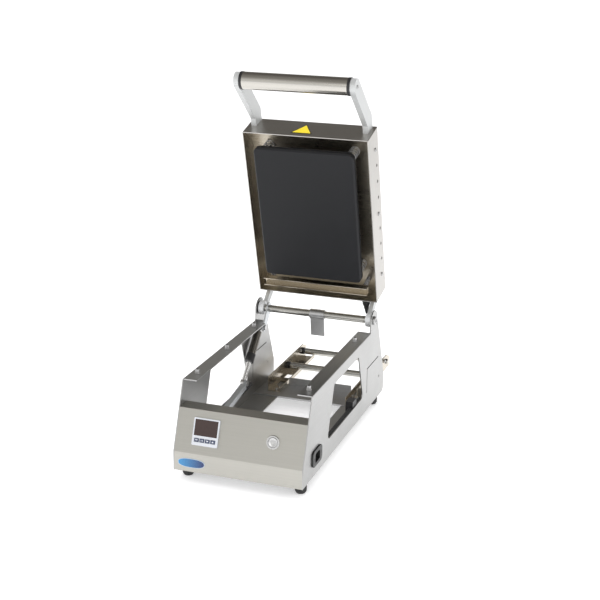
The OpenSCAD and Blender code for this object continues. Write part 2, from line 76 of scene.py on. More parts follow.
def solids(node, place=ORIGIN):
    """A box for each separate solid of a node, in the axes of a place."""
    bm = bmesh.new()
    bm.from_mesh(frame["nodes"][node].data)
    bmesh.ops.remove_doubles(bm, verts=bm.verts, dist=1e-6)
    inverse = place.inverted()
    left = set(bm.verts)
    found = []
    while left:
        edge_of_search = [left.pop()]
        island = list(edge_of_search)
        while edge_of_search:
            vert = edge_of_search.pop()
            for edge in vert.link_edges:
                other = edge.other_vert(vert)
                if other in left:
                    left.remove(other)
                    island.append(other)
                    edge_of_search.append(other)
        found.append(corners([inverse @ v.co for v in island]))
    bm.free()
    return sorted(found, key=lambda box: tuple(round(c, 4) for c in box[0]))


pivot = Vector(joints["lid_hinge"]["pos_m"])
opening = math.radians(joints["lid_hinge"]["range_deg"][1])
# Lid axes: x across, -y from the hinge to the handle, +z from the open rim to the lid's back
LID = Matrix.Translation(pivot) @ Matrix.Rotation(-opening, 4, "X")

press = Vector(joints["button_press"]["axis"])
panel_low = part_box("front_panel")[0]
panel_bend = max(p.z for p in points("front_panel") if p.y < panel_low.y + 0.1 * mm)
panel_lean = math.atan2(press.y, -press.z)
# Panel axes: x across, +y up the slope, +z out of the panel
PANEL = Matrix.Translation((0, panel_low.y, panel_bend)) @ Matrix.Rotation(panel_lean, 4, "X")
# Axes with z along the machine's x
ACROSS = Matrix.Rotation(math.pi / 2, 4, "Y")

# ---------------------------------------------------------------- materials

materials = {}


def node_tree(name):
    """A fresh material, its tree and its shader."""
    material = bpy.data.materials.new(name)
    material.use_nodes = True
    tree = material.node_tree
    return material, tree, tree.nodes["Principled BSDF"]


def noise(tree, scale, stretch=(1, 1, 1), turn=(0, 0, 0), detail=4.0, roughness=0.55):
    """Noise in object space, drawn out along an axis by the stretch."""
    place = tree.nodes.new("ShaderNodeTexCoord")
    mapping = tree.nodes.new("ShaderNodeMapping")
    mapping.inputs["Rotation"].default_value = turn
    scaler = tree.nodes.new("ShaderNodeMapping")
    scaler.inputs["Scale"].default_value = stretch
    texture = tree.nodes.new("ShaderNodeTexNoise")
    texture.inputs["Scale"].default_value = scale
    texture.inputs["Detail"].default_value = detail
    texture.inputs["Roughness"].default_value = roughness
    tree.links.new(place.outputs["Object"], mapping.inputs["Vector"])
    tree.links.new(mapping.outputs["Vector"], scaler.inputs["Vector"])
    tree.links.new(scaler.outputs["Vector"], texture.inputs["Vector"])
    return texture.outputs["Fac"]


def spread(tree, value, low, high, start=0.3, end=0.7):
    """Maps a value's middle range onto low to high."""
    node = tree.nodes.new("ShaderNodeMapRange")
    node.inputs["From Min"].default_value = start
    node.inputs["From Max"].default_value = end
    node.inputs["To Min"].default_value = low
    node.inputs["To Max"].default_value = high
    tree.links.new(value, node.inputs["Value"])
    return node.outputs["Result"]


def times(tree, a, b):
    """Product of two values."""
    node = tree.nodes.new("ShaderNodeMath")
    node.operation = "MULTIPLY"
    tree.links.new(a, node.inputs[0])
    tree.links.new(b, node.inputs[1])
    return node.outputs[0]


def shade(tree, factor, dark, light):
    """Colour between dark and light."""
    node = tree.nodes.new("ShaderNodeMix")
    node.data_type = "RGBA"
    node.inputs["A"].default_value = (*dark, 1)
    node.inputs["B"].default_value = (*light, 1)
    tree.links.new(factor, node.inputs["Factor"])
    return node.outputs["Result"]


def relief(tree, shader, height, strength, depth):
    """Bump from a height, onto the shader's normal."""
    node = tree.nodes.new("ShaderNodeBump")
    node.inputs["Strength"].default_value = strength
    node.inputs["Distance"].default_value = depth
    tree.links.new(height, node.inputs["Height"])
    tree.links.new(node.outputs["Normal"], shader.inputs["Normal"])


def brushed(name, color, rough, along="x", turn=(0, 0, 0), grain=4000.0, strength=0.1):
    """Sheet or bar with a fine grain drawn along one axis, faint streaks and handling marks."""
    material, tree, shader = node_tree(name)
    stretch = {"x": (0.008, 1, 1), "y": (1, 0.008, 1), "z": (1, 1, 0.008)}[along]
    fine = noise(tree, grain, stretch, turn, detail=3.0)
    streaks = noise(tree, grain / 12, stretch, turn, detail=2.0)
    smudge = noise(tree, 14.0, turn=turn, detail=5.0, roughness=0.65)
    dark = tuple(c * 0.93 for c in color)
    light = tuple(min(1.0, c * 1.05) for c in color)
    mixed = times(tree, spread(tree, fine, 0.7, 1.0), spread(tree, streaks, 0.6, 1.0))
    tree.links.new(shade(tree, mixed, dark, light), shader.inputs["Base Color"])
    matte = times(tree, spread(tree, fine, rough * 0.85, rough * 1.25), spread(tree, smudge, 0.9, 1.15))
    tree.links.new(matte, shader.inputs["Roughness"])
    relief(tree, shader, fine, strength, 0.01 * mm)
    shader.inputs["Metallic"].default_value = 1.0
    materials[name] = material
    return material


def cast(name, color, rough, metallic=0.0, grain=2500.0, strength=0.1, depth=0.05 * mm, vary=0.08, coat=0.0,
         mirror=0.5):
    """Blasted metal, moulded plastic, rubber or coating: a fine even grain with slow mottling."""
    material, tree, shader = node_tree(name)
    fine = noise(tree, grain, detail=2.0)
    slow = noise(tree, 25.0, detail=4.0, roughness=0.6)
    dark = tuple(c * (1 - vary) for c in color)
    light = tuple(min(1.0, c * (1 + vary)) for c in color)
    tree.links.new(shade(tree, spread(tree, slow, 0, 1), dark, light), shader.inputs["Base Color"])
    matte = times(tree, spread(tree, fine, rough * 0.9, rough * 1.1), spread(tree, slow, 0.92, 1.1))
    tree.links.new(matte, shader.inputs["Roughness"])
    relief(tree, shader, fine, strength, depth)
    shader.inputs["Metallic"].default_value = metallic
    shader.inputs["Specular IOR Level"].default_value = mirror
    shader.inputs["Coat Weight"].default_value = coat
    shader.inputs["Coat Roughness"].default_value = 0.08
    materials[name] = material
    return material


lid_turn = (opening, 0, 0)
brushed("panel_steel", (0.46, 0.45, 0.415), 0.4, "x")
brushed("plate_steel", (0.43, 0.43, 0.425), 0.34, "y")
brushed("floor_steel", (0.46, 0.46, 0.46), 0.34, "x")
brushed("lid_steel", (0.50, 0.485, 0.46), 0.32, "y", lid_turn)
brushed("lid_inside", (0.47, 0.425, 0.35), 0.28, "x", lid_turn)
brushed("rail_steel", (0.52, 0.47, 0.39), 0.2, "y")
brushed("clamp_steel", (0.50, 0.45, 0.37), 0.22, "x", lid_turn)
brushed("polished_bar", (0.50, 0.49, 0.46), 0.18, "x", grain=2000.0, strength=0.03)
brushed("handle_steel", (0.56, 0.54, 0.50), 0.16, "x", grain=1500.0, strength=0.015)
brushed("turned_steel", (0.5, 0.5, 0.5), 0.3, "z")
brushed("spring_wire", (0.52, 0.52, 0.53), 0.22, "x", strength=0.05)
brushed("button_steel", (0.66, 0.66, 0.66), 0.26, "x")
brushed("rod_chrome", (0.88, 0.88, 0.88), 0.2, "z", strength=0.03)
brushed("dark_chrome", (0.16, 0.15, 0.135), 0.14, "x", strength=0.05)
cast("blasted_aluminium", (0.60, 0.61, 0.61), 0.5, metallic=0.5, vary=0.03, strength=0.15, depth=0.02 * mm)
cast("collar_white", (0.74, 0.75, 0.76), 0.4, metallic=0.35, vary=0.03, depth=0.02 * mm)
cast("bar_silver", (0.60, 0.62, 0.64), 0.35, metallic=0.85, vary=0.03, depth=0.02 * mm)
cast("coated_plate", (0.011, 0.0115, 0.0135), 0.5, grain=1800.0, strength=0.2, mirror=0.28)
cast("black_plastic", (0.016, 0.016, 0.017), 0.42)
# Flat black that paints the shade inside the side plates' slits
cast("slit_shade_paint", (0.01, 0.01, 0.01), 0.7)
cast("foot_rubber", (0.018, 0.018, 0.018), 0.6, grain=1500.0, strength=0.3)
cast("bezel_plastic", (0.62, 0.64, 0.68), 0.3)
cast("display_window", (0.040, 0.021, 0.018), 0.2, coat=0.3, vary=0.15)
cast("key_plastic", (0.06, 0.075, 0.13), 0.4)
cast("key_mark", (0.75, 0.77, 0.8), 0.5)
cast("contact_metal", (0.72, 0.62, 0.38), 0.25, metallic=1.0)
cast("badge_rim", (0.5, 0.62, 0.75), 0.3, coat=0.4)
cast("label_foil", (0.86, 0.68, 0.02), 0.35, vary=0.03)
cast("label_edge", (0.02, 0.018, 0.015), 0.4)


def badge_enamel():
    """Blue enamel that darkens from left to right."""
    material, tree, shader = node_tree("badge_enamel")
    low, high = corners(points("badge"))
    place = tree.nodes.new("ShaderNodeTexCoord")
    split = tree.nodes.new("ShaderNodeSeparateXYZ")
    tree.links.new(place.outputs["Object"], split.inputs["Vector"])
    across = spread(tree, split.outputs["X"], 0, 1, low.x, high.x)
    light_blue, navy = (0.035, 0.26, 0.55), (0.008, 0.012, 0.10)
    tree.links.new(shade(tree, across, light_blue, navy), shader.inputs["Base Color"])
    fine = noise(tree, 1500.0, detail=2.0)
    tree.links.new(spread(tree, fine, 0.22, 0.34), shader.inputs["Roughness"])
    shader.inputs["Coat Weight"].default_value = 0.4
    materials["badge_enamel"] = material


badge_enamel()

# ---------------------------------------------------------------- mesh tools

# CAD nodes that a piece stands for
replaced_nodes = set()


def finish_piece(bm, name, material, body, replaced=(), smooth=35.0):
    """Turns a bmesh into a piece that rides on a body and stands for CAD nodes."""
    bmesh.ops.recalc_face_normals(bm, faces=bm.faces)
    mesh = bpy.data.meshes.new(name)
    bm.to_mesh(mesh)
    bm.free()
    mesh.shade_smooth()
    mesh.set_sharp_from_angle(angle=math.radians(smooth))
    mesh.materials.append(materials[material])
    piece = bpy.data.objects.new(name, mesh)
    scene.collection.objects.link(piece)
    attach(piece, body)
    if replaced:
        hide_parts(*replaced)
        replaced_nodes.update(replaced)
    even = piece.modifiers.new("even_normals", "WEIGHTED_NORMAL")
    even.keep_sharp = True
    return piece


def sharp_edges(bm, degrees=30.0):
    """Edges where two faces meet at more than an angle."""
    limit = math.radians(degrees)
    return [e for e in bm.edges if len(e.link_faces) == 2 and e.calc_face_angle(0) > limit]


def bevel(bm, edges, width, steps):
    """Rounds edges."""
    bmesh.ops.bevel(
        bm, geom=edges, offset=width, offset_type="OFFSET", segments=steps,
        profile=0.5, affect="EDGES", clamp_overlap=True,
    )


def soften(node, material, edge=0.25 * mm, bends=(), place=ORIGIN, steps=2):
    """A copy of a CAD node with round edges. bends holds (test, radius) pairs for larger folds."""
    bm = bmesh.new()
    bm.from_mesh(frame["nodes"][node].data)
    bmesh.ops.remove_doubles(bm, verts=bm.verts, dist=1e-6)
    bmesh.ops.dissolve_limit(
        bm, angle_limit=math.radians(0.5), verts=bm.verts, edges=bm.edges, use_dissolve_boundaries=False,
    )
    inverse = place.inverted()
    for test, radius in bends:
        chosen = [
            e for e in sharp_edges(bm, 10)
            if test(inverse @ e.verts[0].co, inverse @ e.verts[1].co)
        ]
        if chosen:
            bevel(bm, chosen, radius, 5)
    if edge:
        bevel(bm, sharp_edges(bm), edge, steps)
    return finish_piece(bm, f"{node}_skin", material, node_body[node], [node])


def lathe(bm, profile, place, segments=48):
    """Adds a turned shape about the place's z axis. profile holds (radius, height) from bottom to top."""
    rings = []
    for radius, height in profile:
        if radius < 1e-7:
            rings.append([bm.verts.new(place @ Vector((0, 0, height)))])
            continue
        rings.append([
            bm.verts.new(place @ Vector((
                radius * math.cos(2 * math.pi * i / segments),
                radius * math.sin(2 * math.pi * i / segments), height)))
            for i in range(segments)
        ])
    for lower, upper in zip(rings, rings[1:]):
        for i in range(segments):
            k = (i + 1) % segments
            below = [lower[i % len(lower)], lower[k % len(lower)]]
            loop = below + [upper[k % len(upper)], upper[i % len(upper)]]
            loop = [v for j, v in enumerate(loop) if v not in loop[:j]]
            if len(loop) > 2:
                bm.faces.new(loop)


def chamfered(radius, low, high, cut):
    """Profile of a closed cylinder with rounded rims."""
    soft = cut * 0.3
    return [
        (0, low), (radius - cut, low), (radius - soft, low + soft), (radius, low + cut),
        (radius, high - cut), (radius - soft, high - soft), (radius - cut, high), (0, high),
    ]


def socket_head(radius, height, socket=0.0, depth=0.0):
    """Profile of a screw head that stands on z = 0, with a round-edged rim and a recess."""
    rim = min(0.25 * radius, 0.5 * height)
    edge = 0.15 * mm
    rise = [(radius - rim * (1 - math.sin(a)), height - rim * (1 - math.cos(a)))
            for a in (math.pi / 2, math.pi / 3, math.pi / 6, 0)]
    top = [
        (socket + edge, height), (socket, height - edge), (socket, height - depth), (0, height - depth),
    ]
    return [(0, 0), (radius, 0)] + rise + (top if socket else [(0, height)])


def hexagon(bm, radius, low, high, place):
    """Adds a hexagonal nut or head with chamfered ends."""
    cut = 0.12 * radius
    rings = []
    for scale, z in ((0.9, low), (1.0, low + cut), (1.0, high - cut), (0.9, high)):
        rings.append([
            bm.verts.new(place @ Vector((
                radius * scale * math.cos(math.pi / 3 * i), radius * scale * math.sin(math.pi / 3 * i), z)))
            for i in range(6)
        ])
    for lower, upper in zip(rings, rings[1:]):
        for i in range(6):
            bm.faces.new((lower[i], lower[(i + 1) % 6], upper[(i + 1) % 6], upper[i]))
    bm.faces.new(rings[0][::-1])
    bm.faces.new(rings[-1])


def sweep(bm, path, radius, segments):
    """Adds a round wire with closed ends along a path of points."""
    rings = []
    normal = None
    for i, point in enumerate(path):
        ahead = path[min(i + 1, len(path) - 1)] - path[max(i - 1, 0)]
        ahead.normalize()
        if normal is None:
            normal = ahead.orthogonal().normalized()
        normal = (normal - ahead * normal.dot(ahead)).normalized()
        side = ahead.cross(normal)
        rings.append([
            bm.verts.new(point + radius * (
                math.cos(2 * math.pi * k / segments) * normal + math.sin(2 * math.pi * k / segments) * side))
            for k in range(segments)
        ])
    for lower, upper in zip(rings, rings[1:]):
        for k in range(segments):
            n = (k + 1) % segments
            bm.faces.new((lower[k], lower[n], upper[n], upper[k]))
    bm.faces.new(rings[0][::-1])
    bm.faces.new(rings[-1])


def coil(bm, place, radius, wire, low, high, turns):
    """Adds a compression spring with closed, flattened end turns between two heights."""
    steps_per_turn = 28
    total = int(turns * steps_per_turn)
    path = []
    start = low + wire
    rise = high - low - 2 * wire
    # The first and last turns lie nearly flat, just more than a wire's thickness apart
    flat = 1.0
    dead = 2.1 * wire
    for i in range(total + 1):
        turn = i / total * turns
        lift = min(max((turn - flat) / (turns - 2 * flat), 0.0), 1.0)
        if turn < flat:
            z = start + dead * turn / flat
        elif turn > turns - flat:
            z = start + rise - dead * (turns - turn) / flat
        else:
            z = start + dead + (rise - 2 * dead) * lift
        angle = 2 * math.pi * turn
        path.append(place @ Vector((radius * math.cos(angle), radius * math.sin(angle), z)))
    sweep(bm, path, wire, 12)


def block(bm, place, low, high):
    """Adds a box between two corners in the axes of a place."""
    made = bmesh.ops.create_cube(bm, size=1.0)["verts"]
    size = Vector(high) - Vector(low)
    mid = (Vector(high) + Vector(low)) / 2
    bmesh.ops.transform(bm, matrix=place @ Matrix.Translation(mid) @ Matrix.Diagonal((*size, 1)), verts=made)


def prism(bm, place, outline, low, high):
    """Adds a prism over a flat outline."""
    below = [bm.verts.new(place @ Vector((x, y, low))) for x, y in outline]
    above = [bm.verts.new(place @ Vector((x, y, high))) for x, y in outline]
    bm.faces.new(below[::-1])
    bm.faces.new(above)
    for i in range(len(outline)):
        k = (i + 1) % len(outline)
        bm.faces.new((below[i], below[k], above[k], above[i]))


# ---------------------------------------------------------------- base sheet metal

base_low, base_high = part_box("side_plate_right")


def near(value, target, within=0.3 * mm):
    """Whether two lengths agree."""
    return abs(value - target) < within


def runs_along(a, b, axis):
    """Whether an edge runs along one axis."""
    d = b - a
    return all(abs(d[i]) < 1e-5 for i in range(3) if i != axis) and abs(d[axis]) > 5 * mm


sheet = 2.0 * mm
ledge_top = max(p.z for p in points("side_plate_right") if abs(p.x) < base_high.x - 10 * mm)


def plate_fold(a, b):
    """Outer edge of the fold between a side plate's web and its ledge or foot flange."""
    return runs_along(a, b, 1) and near(abs(a.x), base_high.x) and (
        near(a.z, ledge_top) or near(a.z, base_low.z))


def plate_fold_inside(a, b):
    """Inner edge of the same folds."""
    return runs_along(a, b, 1) and near(abs(a.x), base_high.x - sheet) and (
        near(a.z, ledge_top - sheet) or near(a.z, base_low.z + sheet))


for side in ("left", "right"):
    soften(f"side_plate_{side}", "plate_steel", 0.2 * mm,
           [(plate_fold, 1.9 * mm), (plate_fold_inside, 0.8 * mm)])


def cross_fold(a, b):
    """Outer folds of a sheet bent about the x axis."""
    return runs_along(a, b, 0)


soften("front_panel", "panel_steel", 0.2 * mm, [(cross_fold, 0.9 * mm)])
soften("control_cover", "floor_steel", 0.2 * mm, [(cross_fold, 0.7 * mm)])
soften("control_floor", "floor_steel", 0.2 * mm)
soften("cross_plate", "floor_steel", 0.2 * mm)
for side in ("left", "right"):
    soften(f"carrier_{side}", "rail_steel", 0.25 * mm)

# Black strips behind the L-shaped slits, painted shade that makes the slits look dark
slit_width = 2.2 * mm
slit_low, slit_corner = 57.5 * mm, 107 * mm
slit_front = base_low.y + 377 * mm
slit_run = 78 * mm
shade_strip_depth, shade_strip_sheet = 1.4 * mm, 0.5 * mm
for side in (-1, 1):
    bm = bmesh.new()
    face_x = side * (base_high.x - shade_strip_depth)
    x0, x1 = sorted((face_x, face_x - side * shade_strip_sheet))
    block(bm, ORIGIN, (x0, slit_front, slit_low), (x1, slit_front + slit_width, slit_low + 51 * mm))
    block(bm, ORIGIN, (x0, slit_front, slit_corner), (x1, slit_front + slit_run, slit_corner + slit_width))
    name = "right" if side > 0 else "left"
    finish_piece(bm, f"slit_shade_strip_{name}", "slit_shade_paint", "base")

# ---------------------------------------------------------------- lid sheet metal


def lid_fold(a, b):
    """Outer folds of the lid box: the edges of its back and its four corners."""
    at_back = near(a.z, lid_high.z) and near(b.z, lid_high.z)
    at_corner = abs(a.z - b.z) > 20 * mm and near(abs(a.x), lid_high.x)
    return at_back or at_corner


lid_low, lid_high = corners(points("lid_shell", LID))
lid_skin = soften("lid_shell", "lid_steel", 0.2 * mm, [(lid_fold, 1.3 * mm)], LID)
lid_skin.data.materials.append(materials["lid_inside"])
to_lid = LID.inverted()
wall = 0.8 * mm
for face in lid_skin.data.polygons:
    at = to_lid @ face.center
    within_walls = abs(at.x) < lid_high.x - wall and lid_low.y + wall < at.y < lid_high.y - wall
    if within_walls and lid_low.z + 0.2 * mm < at.z < lid_high.z - 1.0 * mm:
        face.material_index = 1

# ---------------------------------------------------------------- bespoke small parts


def centre(box):
    """Middle of a box given by its two corners."""
    return (box[0] + box[1]) / 2


def pointing(at, side):
    """Axes at a point with z along +x or -x."""
    return Matrix.Translation(at) @ Matrix.Rotation(side * math.pi / 2, 4, "Y")


def turned(node, material, build, place=ORIGIN, smooth=35.0):
    """A piece for a node, built solid by solid from the boxes of its CAD solids."""
    bm = bmesh.new()
    for box in solids(node, place):
        build(bm, box)
    return finish_piece(bm, f"{node}_detail", material, node_body[node], [node], smooth)


def foot(bm, box):
    """Rubber foot with a hollow under its middle, a tapered sole and a groove round its side."""
    low, high = box
    radius = (high.x - low.x) / 2
    tall = high.z - low.z
    at = centre(box)
    waist = radius - 0.5 * mm
    profile = [
        (0, 1.2 * mm), (3.2 * mm, 1.2 * mm), (3.6 * mm, 0), (radius - 3.4 * mm, 0),
        (radius - 2.4 * mm, 0.5 * mm), (radius - 0.4 * mm, 4 * mm), (radius, 5 * mm),
        (radius, 12.2 * mm), (waist, 12.7 * mm), (waist, 13.6 * mm), (radius, 14.1 * mm),
        (radius, tall - 0.6 * mm), (radius - 0.6 * mm, tall), (0, tall),
    ]
    lathe(bm, profile, Matrix.Translation((at.x, at.y, low.z)))


turned("feet", "foot_rubber", foot)


def standing(box):
    """Axes on the middle of a box's underside."""
    at = centre(box)
    return Matrix.Translation((at.x, at.y, box[0].z))


def stud_base(bm, box):
    """Hexagonal foot of a mould stud."""
    hexagon(bm, (box[1].x - box[0].x) / 2, 0, 2.9 * mm, standing(box))


turned("mould_studs", "turned_steel", stud_base)
for name, material, profile, segments in (
    ("mould_stud_pins", "turned_steel", chamfered(3.6 * mm, 2.0 * mm, 9 * mm, 0.9 * mm), 32),
    # Black disc on each pin's top: painted shade standing for a recess
    ("mould_stud_recess_shades", "black_plastic", chamfered(2.3 * mm, 8.4 * mm, 9.05 * mm, 0.15 * mm), 24),
):
    bm = bmesh.new()
    for box in solids("mould_studs"):
        lathe(bm, profile, standing(box), segments)
    finish_piece(bm, name, material, "base")


def rail_bolt(bm, box):
    """Hexagonal nut or stop bolt on a rail's side, or a socket screw that stands on the rail."""
    low, high = box
    at = centre(box)
    side = 1 if at.x > 0 else -1
    wide = high.x - low.x
    nut_radius, least_nut = 4 * mm, 6 * mm
    if high.z - low.z > least_nut and wide < least_nut:
        outside = abs(at.x) > 95 * mm
        place = pointing((at.x - side * wide / 2, at.y, at.z), side)
        hexagon(bm, nut_radius, 0, wide * (0.8 if outside else 1.0), place)
    elif high.z - low.z > least_nut:
        hexagon(bm, nut_radius, 0, wide, pointing((low.x, at.y, at.z), 1))
    else:
        lathe(bm, socket_head(wide / 2, high.z - low.z, 1.5 * mm, 1.4 * mm), standing(box), 32)


turned("carrier_bolts", "turned_steel", rail_bolt)


def side_screw(bm, box):
    """Round head on a face that looks along x, with a recess."""
    low, high = box
    at = centre(box)
    side = 1 if at.x > 0 else -1
    foot_x = low.x if side > 0 else high.x
    tall = high.x - low.x
    radius = (high.y - low.y) / 2
    place = pointing((foot_x, at.y, at.z), side)
    lathe(bm, socket_head(radius, tall, radius * 0.42, tall * 0.6), place, 40)


turned("shaft_bolts", "turned_steel", side_screw)
turned("lid_screws", "turned_steel", side_screw, LID).data.transform(LID)


def plate_coil(bm, box):
    """Coil spring round one of the heater plate's guide pins."""
    low, high = box
    at = centre(box)
    wire = 0.8 * mm
    radius = (high.x - low.x) / 2 - wire
    coil(bm, LID @ Matrix.Translation((at.x, at.y, 0)), radius, wire, low.z, high.z, 6.5)


turned("plate_springs", "spring_wire", plate_coil, LID, 60.0)


def clamp_coil(bm, box):
    """Coil spring of the clamp bar, or the pin inside it."""
    low, high = box
    at = centre(box)
    place = LID @ Matrix.Translation((at.x, at.y, 0))
    if high.x - low.x > 7 * mm:
        coil(bm, place, 4.0 * mm, 0.75 * mm, low.z, high.z, 8.5)
    else:
        lathe(bm, chamfered((high.x - low.x) / 2, low.z, high.z, 0.5 * mm), place, 24)


turned("clamp_springs", "spring_wire", clamp_coil, LID, 60.0)


def corrugated(bm, box):
    """Ribbed cable conduit."""
    low, high = box
    at = centre(box)
    radius = (high.x - low.x) / 2
    place = Matrix.Translation((at.x, low.y, at.z)) @ Matrix.Rotation(-math.pi / 2, 4, "X")
    length = high.y - low.y
    cuff = 8 * mm
    pitch = 2.9 * mm
    valley, cuff_radius = radius - 0.7 * mm, radius - 1.0 * mm
    count = int((length - cuff) / pitch)
    profile = [(0, 0)]
    for i in range(count):
        z = i * pitch
        profile += [(valley, z), (valley, z + 0.6 * mm), (radius, z + 1.1 * mm), (radius, z + 2.4 * mm)]
    end = count * pitch
    profile += [
        (radius - 0.4 * mm, end), (cuff_radius, end + 0.4 * mm), (cuff_radius, length - 0.6 * mm),
        (radius - 1.6 * mm, length), (0, length),
    ]
    lathe(bm, profile, place, 24)


turned("conduit_left", "black_plastic", corrugated)
turned("conduit_right", "black_plastic", corrugated)


def gland(bm, box):
    """Hexagonal nut with a ribbed boot that tapers along the cable."""
    low, high = box
    at = centre(box)
    radius = (high.x - low.x) / 2
    place = LID @ Matrix.Translation((at.x, low.y, at.z)) @ Matrix.Rotation(-math.pi / 2, 4, "X")
    hexagon(bm, radius, 0, 9 * mm, place)
    neck, root = radius - 1.1 * mm, 8.8 * mm
    boot, boot_length, boot_end = 13 * mm, 22 * mm, 34.8 * mm
    profile = [(0, root), (neck, root), (neck, 12.4 * mm), (radius - 1.7 * mm, boot)]
    ribs = 8
    for i in range(ribs):
        z = boot + boot_length * i / ribs
        wide = (6.4 - 4.0 * i / ribs) * mm
        profile += [
            (wide - 0.5 * mm, z + 0.1 * mm), (wide - 0.5 * mm, z + 0.7 * mm),
            (wide - 0.25 * mm, z + 0.9 * mm), (wide - 0.4 * mm, z + 2.5 * mm),
        ]
    profile += [(2.3 * mm, boot_end), (0, boot_end)]
    lathe(bm, profile, place, 32)


turned("lid_gland", "black_plastic", gland, LID)


def roller(bm, box):
    """Ground tube with plugs, journals and a hex nut on each end."""
    low, high = box
    at = centre(box)
    radius = (high.z - low.z) / 2
    half = high.x
    body = half - 13.9 * mm
    journal, rim, plug = 4.0 * mm, radius - 0.5 * mm, radius - 1.4 * mm
    place = Matrix.Translation((0, at.y, at.z)) @ ACROSS
    lathe(bm, [
        (journal, -body - 0.2 * mm), (plug, -body), (rim, -body), (radius, -body + 0.5 * mm),
        (radius, body - 0.5 * mm), (rim, body), (plug, body), (journal, body + 0.2 * mm),
    ], place)
    lathe(bm, chamfered(journal, -half, half, 0.4 * mm), place, 32)
    for side in (-1, 1):
        hexagon(bm, 5.6 * mm, half - 3.6 * mm, half - 0.5 * mm, pointing((0, at.y, at.z), side))


turned("roller_front", "polished_bar", roller)
turned("roller_rear", "polished_bar", roller)

# ---------------------------------------------------------------- controls


# Generic marks on the keys: two level bars, two upright bars, an arrow down, an arrow up.
# Each mark's outlines are in millimetres from the key's middle.
level_bars = [
    [(-2.2, -0.4), (2.2, -0.4), (2.2, 0.4), (-2.2, 0.4)],
    [(-2.2, 1.0), (2.2, 1.0), (2.2, 1.6), (-2.2, 1.6)],
]
upright_bars = [
    [(-1.6, -1.4), (-0.8, -1.4), (-0.8, 1.4), (-1.6, 1.4)],
    [(0.8, -1.4), (1.6, -1.4), (1.6, 1.4), (0.8, 1.4)],
]
arrow_down = [[(-2, 1.2), (2, 1.2), (0, -1.5)]]
arrow_up = [[(-2, -1.2), (2, -1.2), (0, 1.5)]]
for i, outlines in enumerate((level_bars, upright_bars, arrow_down, arrow_up), 1):
    low, high = corners(points(f"key_{i}", PANEL))
    mid = (low + high) / 2
    bm = bmesh.new()
    for outline in outlines:
        placed = [(mid.x + x * mm, mid.y + y * mm) for x, y in outline]
        prism(bm, PANEL, placed, high.z - 0.05 * mm, high.z + 0.02 * mm)
    finish_piece(bm, f"key_{i}_mark", "key_mark", f"key_{i}")

low, high = corners(points("button_cap", PANEL))
mid = (low + high) / 2
bm = bmesh.new()
# Stem, skirt, rounded rim, shallow dish and a ring groove
face = high.z
half = (high.x - low.x) / 2
stem, skirt_low, groove = 3.0 * mm, face - 5.0 * mm, face - 0.85 * mm
lathe(bm, [
    (0, low.z), (stem, low.z), (stem, skirt_low), (half, skirt_low), (half, face - 0.8 * mm),
    (half - 0.3 * mm, face - 0.25 * mm), (half - 0.9 * mm, face), (half - 2.2 * mm, face - 0.35 * mm),
    (3.6 * mm, face - 0.5 * mm), (3.4 * mm, groove), (2.7 * mm, groove), (2.5 * mm, face - 0.5 * mm),
    (0, face - 0.55 * mm),
], PANEL @ Matrix.Translation((mid.x, mid.y, 0)), 64)
finish_piece(bm, "button_cap_detail", "button_steel", "button", ["button_cap"])

low, high = corners(points("inlet_body"))
mid = (low + high) / 2
bm = bmesh.new()
screw_spacing = 40 * mm
for side in (-1, 1):
    place = pointing((high.x - 2 * mm, mid.y + side * screw_spacing / 2, mid.z), 1)
    lathe(bm, socket_head(1.75 * mm, 1.5 * mm, 0.7 * mm, 0.6 * mm), place, 24)
finish_piece(bm, "inlet_screws", "turned_steel", "base")

# Plain blue badge with a pale rim
low, high = corners(points("badge"))
mid = (low + high) / 2
FRONT = Matrix.Translation((mid.x, high.y, mid.z)) @ Matrix.Rotation(math.pi / 2, 4, "X")


def lozenge(half_length, half_width, steps=48):
    """Outline of a badge, a little fuller than an ellipse."""
    fullness = 0.8
    return [(half_length * math.copysign(abs(math.cos(a)) ** fullness, math.cos(a)),
             half_width * math.copysign(abs(math.sin(a)) ** fullness, math.sin(a)))
            for a in (2 * math.pi * k / steps for k in range(steps))]


badge_half = (25 * mm, 8.5 * mm)
badge_rim = 0.8 * mm
bm = bmesh.new()
prism(bm, FRONT, lozenge(*badge_half), 0, 0.55 * mm)
finish_piece(bm, "badge_rim_ring", "badge_rim", "base", ["badge"])
bm = bmesh.new()
prism(bm, FRONT, lozenge(badge_half[0] - badge_rim, badge_half[1] - badge_rim), 0.3 * mm, 0.78 * mm)
finish_piece(bm, "badge_face", "badge_enamel", "base")

# Plain yellow triangle with a dark border on the lid's front wall
low, high = corners(points("lid_label", LID))
AT_FRONT = LID @ Matrix.Translation((0, high.y, 0)) @ Matrix.Rotation(math.pi / 2, 4, "X")
outline = [(low.x, low.z), (high.x, low.z), ((low.x + high.x) / 2, high.z)]
mid_x, mid_z = (low.x + high.x) / 2, low.z + (high.z - low.z) / 3
bm = bmesh.new()
prism(bm, AT_FRONT, outline, 0, 0.3 * mm)
finish_piece(bm, "label_border", "label_edge", "lid", ["lid_label"])
bm = bmesh.new()
within = 0.86
smaller = [(mid_x + (x - mid_x) * within, mid_z + (z - mid_z) * within) for x, z in outline]
prism(bm, AT_FRONT, smaller, 0.2 * mm, 0.45 * mm)
finish_piece(bm, "label_face", "label_foil", "lid")

# ---------------------------------------------------------------- the rest, by slot

